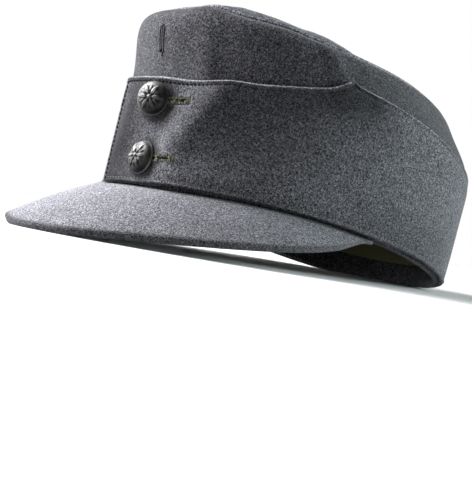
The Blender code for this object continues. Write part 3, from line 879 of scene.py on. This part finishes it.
# Visor: a stiff board with the cloth drawn over its edge and under it
brim = {"columns": 150, "topRows": 26, "underRows": 14, "cornerSteps": 3, "edgeRadius": 0.0010,
        "edgeShare": 0.4, "below": 0.0003, "leastRun": 0.0004, "wave": 0.00025, "waveSize": 0.03,
        "topTone": 0.95, "litFrontTone": 2.65, "litTurn": -42.0, "litReach": 1.15,
        "edgeShadeTone": 0.55, "edgeStart": 0.0002, "edgeFade": 0.0008,
        "rootShadeTone": 0.06, "rootShadeWidth": 0.0017, "rootShadeFade": 0.0007}


def visorRoot(turn, inset):
    return ring(rim, turn, inset, wallBottom(turn) - brim["below"])


def visorEdgeAt(turn):
    root = visorRoot(turn, 0)
    end = visorRoot(visor["endAngle"], 0)
    front = visorRoot(0, 0)
    polar = math.atan2(root.x, -root.y)
    share = abs(polar) / math.atan2(end.x, -end.y)
    reach = readCurve(visorEdge, share, 1) * (visor["frontReach"] + front.y - visor["tip"]) + visor["tip"]
    drop = readCurve(visorEdge, share, 2) * (visor["frontDrop"] + front.z)
    outwards = Vector((math.sin(polar), -math.cos(polar), 0))
    return root + outwards * reach - Vector((0, 0, drop))


def visorColumn(turn):
    inner = visorRoot(turn, visor["tuck"])
    root = visorRoot(turn, 0)
    edge = visorEdgeAt(turn)
    away = abs(turn) / visor["endAngle"]
    board = visor["board"] * (1 - visor["thinning"] * ease(4 * away - 3))
    outwards = (root - inner).normalized()
    top = [inner]
    for i in range(brim["topRows"]):
        share = i / (brim["topRows"] - 1)
        point = root.lerp(edge, share)
        point.z += 4 * visor["camber"] * share * (1 - share) * (1 - away ** 2)
        wave = brim["wave"] * soft(point.x, point.y, brim["waveSize"], 8.8)
        point.z += wave * ease(4 * share * (1 - share))
        top.append(point)
    slopes = []
    for i in range(len(top)):
        run = top[min(i + 1, len(top) - 1)] - top[max(i - 1, 0)]
        slopes.append(math.atan2(-run.z, max(run.dot(outwards), brim["leastRun"])))
    under = []
    for point, slope in zip(top, slopes):
        down = Vector((0, 0, math.cos(slope))) + outwards * math.sin(slope)
        under.append(point - board * down)
    radius = min(brim["edgeRadius"], board * brim["edgeShare"])
    slope = slopes[-1]
    along = outwards * math.cos(slope) - Vector((0, 0, math.sin(slope)))
    down = Vector((0, 0, -math.cos(slope))) - outwards * math.sin(slope)
    nose = []
    for start, sign in ((top[-1] + down * radius, 1), (under[-1] - down * radius, -1)):
        for i in range(brim["cornerSteps"] + 1):
            angle = math.pi / 2 * i / brim["cornerSteps"]
            turned = (math.cos(angle), math.sin(angle)) if sign < 0 else (math.sin(angle), math.cos(angle))
            nose.append(start + along * radius * turned[0] - down * sign * radius * turned[1])
    keep = [under[round(i * (len(under) - 1) / brim["underRows"])] for i in range(brim["underRows"] + 1)]
    line = top[:-1] + nose + list(reversed(keep))[1:]
    return list(zip(runAlong(line, 1e-6), line))


def makeVisor():
    xs = [visor["endAngle"] * (2 * i / brim["columns"] - 1) for i in range(brim["columns"] + 1)]
    form = makeForm(xs, visorColumn)
    bm = flatCloth(form)
    keepPattern(bm, rim["halfWidth"] * math.pi / 180)

    def toneAt(turn, y, z):
        # Painted shade along the seam under the flap, pale on top with painted light towards the front, and
        # painted shade round the edge and below
        ys = form["ys"][round((turn / visor["endAngle"] + 1) * brim["columns"] / 2)]
        amount = ease((y - ys[brim["topRows"] - 1] + brim["edgeStart"]) / brim["edgeFade"])
        seam = 1 - ease((y - visor["tuck"] - brim["rootShadeWidth"]) / brim["rootShadeFade"])
        toneWithPaintedLight = ease(brim["litReach"] - abs(turn - brim["litTurn"]) / visor["endAngle"])
        pale = brim["topTone"] * (1 - toneWithPaintedLight) + brim["litFrontTone"] * toneWithPaintedLight
        top = pale * (1 - seam) + brim["rootShadeTone"] * seam
        return top * (1 - amount) + brim["edgeShadeTone"] * amount

    paintTone(bm, toneAt)
    wrap(bm, form)
    ends = [edge for edge in bm.edges if edge.is_boundary]
    bmesh.ops.holes_fill(bm, edges=ends, sides=0)
    bmesh.ops.recalc_face_normals(bm, faces=bm.faces)
    finishPiece("visorCover", bm, litVisorWool, ["visor"])


makeVisor()


# Lining: a band of olive twill above the hem and an oval ceiling
lined = {"cloth": 0.0008, "depth": 0.0027, "columnSpacing": 0.0032, "tuck": 0.003,
         "lowRows": 14, "upperRows": 8, "bendRows": 8,
         "ceilingShares": (0.95, 0.9, 0.82, 0.72, 0.6, 0.45, 0.3, 0.15, 0.0),
         "wave": 0.0009, "waveSize": 0.018, "waveShift": 0.6, "waveSpan": (0.006, 0.02, 0.07, 0.03)}


def liningColumn(x):
    turn = turnAt(x)
    start = wallBottom(turn) + crown["hemHeight"] - lined["tuck"]
    waist = waistHeight(turn)
    depth = lined["depth"]
    steps = lined["lowRows"]
    rows = [wallAt(turn, start + (waist - start) * i / steps, depth) for i in range(steps)]
    curve = roundShoulder(turn, depth, lined["bendRows"])[0]
    first = wallAt(turn, waist, depth)
    rows += [first.lerp(curve[0], i / lined["upperRows"]) for i in range(lined["upperRows"])]
    rows += curve
    for share in lined["ceilingShares"]:
        rows.append(overCrown(turn, share, shoulder(turn), -depth - seamTuck(turn) * share))
    out = outwardAt(turn)
    shaped = []
    for y, point in zip(runAlong(rows), rows):
        wave = lined["wave"] * (soft(x, y, lined["waveSize"], 4.4) - lined["waveShift"])
        shaped.append((y, point + out * wave * swell(y, *lined["waveSpan"])))
    return shaped


liningXs = spread(-wholeRound / 2, wholeRound / 2, lined["columnSpacing"])
liningForm = makeForm(liningXs, liningColumn, closed=True, pole=True)
bm = makeCloth(liningForm, lined["cloth"], 0, centred=False)
finishPiece("capLining", bm, liningTwill, ["lining"])


# Stitches, laid flat on a form and wrapped with it
sewing = {"pitch": 0.0025, "length": 0.0016, "thick": 0.0011, "sink": -0.0002, "wobble": 0.04,
          "drawn": 0.0007, "drawnFrom": 0.03, "drawnRun": 0.05, "footThick": 0.00050,
          "panelSink": 0.0001, "endInset": 0.0028, "endFrom": 0.001, "endTo": 0.002,
          "endLength": 0.0020, "endThick": 0.0009, "endRise": 0.0002}
oneStitch = bpy.data.meshes.new("oneStitch")


def addStitch(bm, x, y, z, length, thick, angle=0.0):
    place = (Matrix.Translation((x, y, z)) @ Matrix.Rotation(angle, 4, "Z")
             @ Matrix.Diagonal((length / 2, thick / 2, thick / 2, 1)))
    small = bmesh.new()
    bmesh.ops.create_uvsphere(small, u_segments=6, v_segments=4, radius=1, matrix=place)
    small.to_mesh(oneStitch)
    small.free()
    bm.from_mesh(oneStitch)


def stitchLine(bm, start, end, heightAt, thick, sink, drawn=0.0):
    # Stitches away from the front can be drawn deeper into the cloth
    pitch = sewing["pitch"]
    count = round((end - start) / pitch)
    for i in range(count):
        x = start + (end - start) * (i + 0.5) / count
        depth = sink - drawn * ease((x - sewing["drawnFrom"]) / sewing["drawnRun"])
        y = heightAt(x)
        rise = heightAt(x + pitch / 2) - heightAt(x - pitch / 2)
        wobble = sewing["wobble"] * soft(i, 0, 0.37, 1.0)
        addStitch(bm, x, y, depth, sewing["length"], thick, math.atan2(rise, pitch) + wobble)


def stitchUp(bm, x, start, end, pitch, length, thick, sink):
    count = round((end - start) / pitch)
    for i in range(count):
        addStitch(bm, x, start + (end - start) * (i + 0.5) / count, sink, length, thick, math.pi / 2)


def sewFlap():
    inset = band["stitchIn"]
    first = bandStart + inset
    last = bandEnd - inset
    bm = bmesh.new()
    stitchLine(bm, first, last, lambda x: bandReach(x) - inset, sewing["thick"], sewing["sink"],
               sewing["drawn"])
    for x in (bandStart + sewing["endInset"], bandEnd - sewing["endInset"]):
        stitchUp(bm, x, sewing["endFrom"], bandReach(x) - sewing["endTo"], sewing["pitch"],
                 sewing["endLength"], sewing["endThick"], sewing["endRise"])
    wrap(bm, bandForm)
    finishPiece("flapStitches", bm, darkThread)
    bm = bmesh.new()
    stitchLine(bm, first, last, lambda x: inset, sewing["footThick"], sewing["sink"])
    wrap(bm, bandForm)
    finishPiece("footStitches", bm, greyThread)


def sewPanel():
    bm = bmesh.new()
    stitchLine(bm, panelXs[0], panelXs[-1], lambda x: panel["stitchIn"], sewing["thick"],
               panel["cloth"] / 2 - sewing["panelSink"])
    wrap(bm, panelForm)
    finishPiece("panelStitches", bm, greyThread)


sewFlap()
sewPanel()


# Bound slits: close bars of thread on both sides, fanned round the far end. The outline's rows are place
# across, end of the slit, distance past it, length and thickness
binding = {"holeBar": 0.0013, "holeThick": 0.0005, "holePitch": 0.0007, "holeUneven": 0.45,
           "holeFrom": 0.003, "holePast": 0.0003, "holeRise": 0.0002,
           "knot": 0.0016, "knotTurns": 7, "knotThick": 0.0006, "knotBelow": 0.0006, "knotRise": 0.0003,
           "knots": ((0.62, 1.0), (1.0, 0.8)),
           "slitBar": 0.0008, "slitThick": 0.00045, "slitPitch": 0.0007, "fan": 6,
           "tails": 3, "tailLength": 0.0012, "tailThick": 0.0006, "tailRise": 0.0005,
           "outline": 0.0017, "outlinePitch": 0.0012, "outlineLength": 0.0016, "outlineThick": 0.0010,
           "outlineEnds": ((0, 1, 0.0006, 0.0026, 0.0011), (-0.0008, 0, 0.0008, 0.0026, 0.0019),
                           (0.0002, 0, -0.0006, 0.0030, 0.0013))}


def bindSlit(bm, ends, width, barLength, barThick, pitch, depth, uneven=0.2):
    (x0, y0), (x1, y1) = ends
    count = round(math.hypot(x1 - x0, y1 - y0) / pitch)
    lean = math.atan2(y1 - y0, x1 - x0)
    for i in range(count + 1):
        x = x0 + (x1 - x0) * i / count
        y = y0 + (y1 - y0) * i / count
        for side in (-1, 1):
            angle = lean + side * math.pi / 2 + 2.5 * uneven * soft(i, side, 0.4, 3.3)
            length = barLength * (1 + 2 * uneven * soft(i, side, 0.6, 9.1))
            reach = (width + length) / 2
            addStitch(bm, x + math.cos(angle) * reach, y + math.sin(angle) * reach, depth, length,
                      barThick, angle)
    for i in range(1, binding["fan"]):
        angle = lean - math.pi / 2 + math.pi * i / binding["fan"]
        reach = (width + barLength) / 2
        addStitch(bm, x1 + math.cos(angle) * reach, y1 + math.sin(angle) * reach, depth, barLength,
                  barThick, angle)


def addKnot(bm, x, y, depth, size, seed):
    # A few crossed turns of thread
    for i in range(binding["knotTurns"]):
        angle = i * 0.9 + soft(i, seed, 0.7, 4.1)
        addStitch(bm, x + size * soft(i, 1, 0.37, seed), y + size * soft(i, 2, 0.37, seed),
                  depth + 0.0001 * i, size * 1.5, binding["knotThick"], angle)


def bindButtonholes():
    bm = bmesh.new()
    for seed, y in enumerate(holeYs.values()):
        ends = ((holeXs[0] + binding["holeFrom"], y), (holeXs[1] + binding["holePast"], y))
        bindSlit(bm, ends, band["holeWidth"], binding["holeBar"], binding["holeThick"],
                 binding["holePitch"], binding["holeRise"], binding["holeUneven"])
        for share, size in binding["knots"]:
            x = holeXs[0] * (1 - share) + holeXs[1] * share
            addKnot(bm, x, y - binding["knotBelow"], binding["knotRise"], binding["knot"] * size,
                    seed + share)
    wrap(bm, bandForm)
    finishPiece("buttonholeThread", bm, oliveThread)


def bindBadgeSlit():
    surface = crown["cloth"] / 2
    low, high = slitYs
    bm = bmesh.new()
    bindSlit(bm, ((0, high), (0, low)), wall["slitWidth"], binding["slitBar"], binding["slitThick"],
             binding["slitPitch"], surface)
    for i in range(binding["tails"]):
        addStitch(bm, 0.0006 - 0.0004 * i, low - 0.0008 - 0.0005 * i, surface + binding["tailRise"],
                  binding["tailLength"], binding["tailThick"], 0.6 - 0.5 * i)
    wrap(bm, wallForm)
    finishPiece("slitThread", bm, greyThread)
    bm = bmesh.new()
    for x in (-binding["outline"], binding["outline"]):
        stitchUp(bm, x, low, high, binding["outlinePitch"], binding["outlineLength"],
                 binding["outlineThick"], surface)
    # The thick dark stitch at the slit's low end is a dark mark put there as painted shade in the end of
    # the slit
    for x, end, past, length, thick in binding["outlineEnds"]:
        addStitch(bm, x, slitYs[end] + past, surface + 0.0001, length, thick, 0.3)
    wrap(bm, wallForm)
    finishPiece("slitOutline", bm, darkThread)


bindButtonholes()
bindBadgeSlit()


# Buttons: a domed cap with a six-leaf rosette, on a wire loop that goes through the buttonhole
button = {"radius": 0.0088, "rim": 0.0014, "dome": 0.0036, "segments": 96, "relief": 0.0008,
          "leaves": 6, "leafRows": ((0.0, 0.16, 0.78, 0.15, 1.0), (0.5, 0.30, 0.66, 0.09, 0.7)),
          "vein": 0.35, "veinReach": 0.012, "bead": 0.15, "beadHeight": 1.2,
          "wire": 0.0012, "wireSides": 10, "loop": 0.0036, "loopIn": 0.0006, "loopSteps": 14,
          "rimTone": 0.26, "rimWear": 0.30, "rimReach": 0.03, "domeTone": 0.07, "leafWear": 0.40,
          "skirtWear": 0.2, "skirtFrom": 0.62, "skirtRun": 0.15, "paintedTopLight": 0.31, "paintedSideShade": 0.08,
          "seatStep": 0.0015, "tilts": {"button_upper": 16.0, "button_lower": 3.0},
          "standOffs": {"button_upper": 0.0017, "button_lower": 0.0009}}
buttonProfile = ((0.0, 0.0002), (0.80, 0.0001), (0.93, 0.0), (0.985, 0.0004), (1.0, 0.0009),
                 (0.992, 0.0013), (0.975, 0.0015), (0.96, 0.00155))
domeRows = ((0.95, 0.12), (0.93, 0.26), (0.89, 0.42), (0.835, 0.57), (0.77, 0.69), (0.70, 0.775),
            (0.64, 0.825), (0.58, 0.872), (0.52, 0.905), (0.46, 0.932), (0.40, 0.953), (0.34, 0.969),
            (0.28, 0.981), (0.22, 0.989), (0.17, 0.994), (0.12, 0.997), (0.08, 0.999), (0.04, 1.0),
            (0.0, 1.0))


def rosette(radius, angle):
    # Leaves, the small leaves between them, and a beaded centre; radius as a share
    sector = 2 * math.pi / button["leaves"]
    relief = 0.0
    for turned, start, end, width, height in button["leafRows"]:
        off = ((angle / sector + turned + 0.5) % 1.0 - 0.5) * sector
        across = radius * math.sin(off)
        along = (radius * math.cos(off) - start) / (end - start)
        if 0 < along < 1:
            room = width * math.sin(math.pi * along ** 0.8)
            if room > 0.001:
                side = abs(across) / room
                if side < 1:
                    vein = button["vein"] * bump(across, button["veinReach"])
                    relief = max(relief, height * (math.sqrt(1 - side * side) - vein))
    if radius < button["bead"]:
        relief = max(relief, button["beadHeight"] * math.sqrt(1 - (radius / button["bead"]) ** 2))
    return relief


def makeButton(node, height):
    bm = bmesh.new()
    radius = button["radius"]
    line = [(share * radius, rise) for share, rise in buttonProfile]
    line += [(share * radius, button["rim"] + rise * button["dome"]) for share, rise in domeRows]
    verts = [bm.verts.new((x, 0, z)) for x, z in line]
    edges = [bm.edges.new(pair) for pair in zip(verts, verts[1:])]
    bmesh.ops.spin(bm, geom=verts + edges, cent=(0, 0, 0), axis=(0, 0, 1), angle=2 * math.pi,
                   steps=button["segments"], use_merge=True)
    bmesh.ops.remove_doubles(bm, verts=bm.verts, dist=1e-6)
    tone = bm.verts.layers.float_color.new("tone")
    for vert in bm.verts:
        share = vert.co.xy.length / radius
        toneWithPaintedLight = button["rimTone"] + button["rimWear"] * bump(share - 1, button["rimReach"])
        if vert.co.z > button["rim"] + 0.0004:
            angle = math.atan2(vert.co.y, vert.co.x)
            raised = rosette(share, angle)
            vert.co.z += button["relief"] * raised
            toneWithPaintedLight = button["domeTone"] + button["leafWear"] * min(raised, 1)
            toneWithPaintedLight += button["skirtWear"] * ease((share - button["skirtFrom"]) / button["skirtRun"])
            # Painted light on the upper side of the dome, and painted shade towards one side
            toneWithPaintedLight += (button["paintedTopLight"] * vert.co.y - button["paintedSideShade"] * vert.co.x) / radius
        vert[tone] = (toneWithPaintedLight, toneWithPaintedLight, toneWithPaintedLight, 1)
    bmesh.ops.recalc_face_normals(bm, faces=bm.faces)
    side = Matrix.Translation((button["loop"] / 2 - button["loopIn"], 0, 0))
    loop = bmesh.ops.create_circle(bm, segments=button["wireSides"], radius=button["wire"] / 2,
                                   matrix=side)
    wires = [edge for edge in bm.edges if edge.verts[0] in loop["verts"] and edge.verts[1] in loop["verts"]]
    bmesh.ops.spin(bm, geom=loop["verts"] + wires, cent=(0, 0, 0), axis=(0, 1, 0), angle=math.pi,
                   steps=button["loopSteps"])
    y = height - rimHeight(turnAcross(band["buttonAcross"]))
    step = button["seatStep"]
    across = onForm(bandForm, buttonX + step, y, 0) - onForm(bandForm, buttonX - step, y, 0)
    upward = onForm(bandForm, buttonX, y + step, 0) - onForm(bandForm, buttonX, y - step, 0)
    outward = across.cross(upward).normalized()
    across.normalize()
    seat = onForm(bandForm, buttonX, y, 0) + outward * button["standOffs"][node]
    facing = Matrix((across, outward.cross(across), outward)).transposed().to_4x4()
    tilt = Matrix.Rotation(math.radians(button["tilts"][node]), 4, "Y")
    bmesh.ops.transform(bm, matrix=leaned @ Matrix.Translation(seat) @ facing @ tilt, verts=bm.verts)
    finishPiece(node.replace("_", "") + "Cap", bm, pewter, [node])


for node, height in band["buttonHeights"].items():
    makeButton(node, height)


# Stage, camera and soft lights, each from its own side: azimuth 0 is the front of the cap
studio = {"backdrop": 1.0, "ambient": 0.01, "floor": (0.54, 0.54, 0.54, 1), "floorSize": 40.0,
          "lights": (("frontLight", -60, 10, 45, 5.9, (1, 1, 1)),
                     ("keyLight", -41, 40, 45, 4.1, (1, 0.98, 1.03)),
                     ("sideLight", 148, 12, 30, 6.8, (0.88, 1, 1)),
                     ("rimLight", 170, 20, 45, 1.8, (1, 1, 1))),
          "lampPlace": (-0.22, -0.30, 0.37), "lampAim": (-0.02, -0.12, 0.02), "lampSize": 0.20,
          "lampPower": 3.4}


def makeStage():
    bm = bmesh.new()
    bmesh.ops.create_grid(bm, x_segments=1, y_segments=1, size=studio["floorSize"])
    paleFloor = newMaterial("paleFloor", {"Base Color": studio["floor"], "Roughness": 0.9})
    floor = meshObject("floor", bm, paleFloor)


view = {"place": (0.48701, -0.42311, 0.01714), "azimuth": 49.062, "elevation": 0.803, "roll": 9.766,
        "lens": 85.25, "sensor": 36, "near": 0.01}


def makeCamera():
    azimuth = math.radians(view["azimuth"])
    elevation = math.radians(view["elevation"])
    back = Vector((math.sin(azimuth) * math.cos(elevation), -math.cos(azimuth) * math.cos(elevation),
                   math.sin(elevation)))
    level = Vector((math.cos(azimuth), math.sin(azimuth), 0))
    facing = Matrix((level, back.cross(level), back)).transposed().to_4x4()
    data = bpy.data.cameras.new("camera")
    data.lens = view["lens"]
    data.sensor_width = view["sensor"]
    data.clip_start = view["near"]
    camera = addObject("camera", data)
    camera.matrix_world = (Matrix.Translation(view["place"]) @ facing
                           @ Matrix.Rotation(math.radians(view["roll"]), 4, "Z"))
    bpy.context.scene.camera = camera


def addLight(name, azimuth, elevation, spreadAngle, power, colour):
    data = bpy.data.lights.new(name, "SUN")
    data.energy = power
    data.color = colour
    data.angle = math.radians(spreadAngle)
    light = addObject(name, data)
    light.rotation_euler = (math.radians(90 - elevation), 0, math.radians(azimuth))


def addLamp():
    # A small soft box close to the visor's front
    data = bpy.data.lights.new("visorLamp", "AREA")
    data.shape = "DISK"
    data.size = studio["lampSize"]
    data.energy = studio["lampPower"]
    lamp = addObject("visorLamp", data)
    lamp.location = studio["lampPlace"]
    aim = Vector(studio["lampAim"]) - lamp.location
    lamp.rotation_euler = aim.to_track_quat("-Z", "Y").to_euler()


def makeWorld():
    # White where the camera looks past the cap, and a dim even light for the rest
    world = bpy.data.worlds.new("world")
    bpy.context.scene.world = world
    world.use_nodes = True
    tree = world.node_tree
    dim = fillIn(tree.nodes["Background"], {"Strength": studio["ambient"], "Color": (1, 1, 1, 1)})
    white = addNode(tree, "ShaderNodeBackground", Strength=studio["backdrop"], Color=(1, 1, 1, 1))
    seen = addNode(tree, "ShaderNodeLightPath")
    mixed = addNode(tree, "ShaderNodeMixShader", seen.outputs["Is Camera Ray"],
                    dim.outputs["Background"], white.outputs["Background"])
    fillIn(tree.nodes["World Output"], {"Surface": mixed.outputs["Shader"]})


makeStage()
makeCamera()
makeWorld()
for light in studio["lights"]:
    addLight(*light)
addLamp()
bpy.context.scene.view_settings.view_transform = "Standard"
print("stage ready")
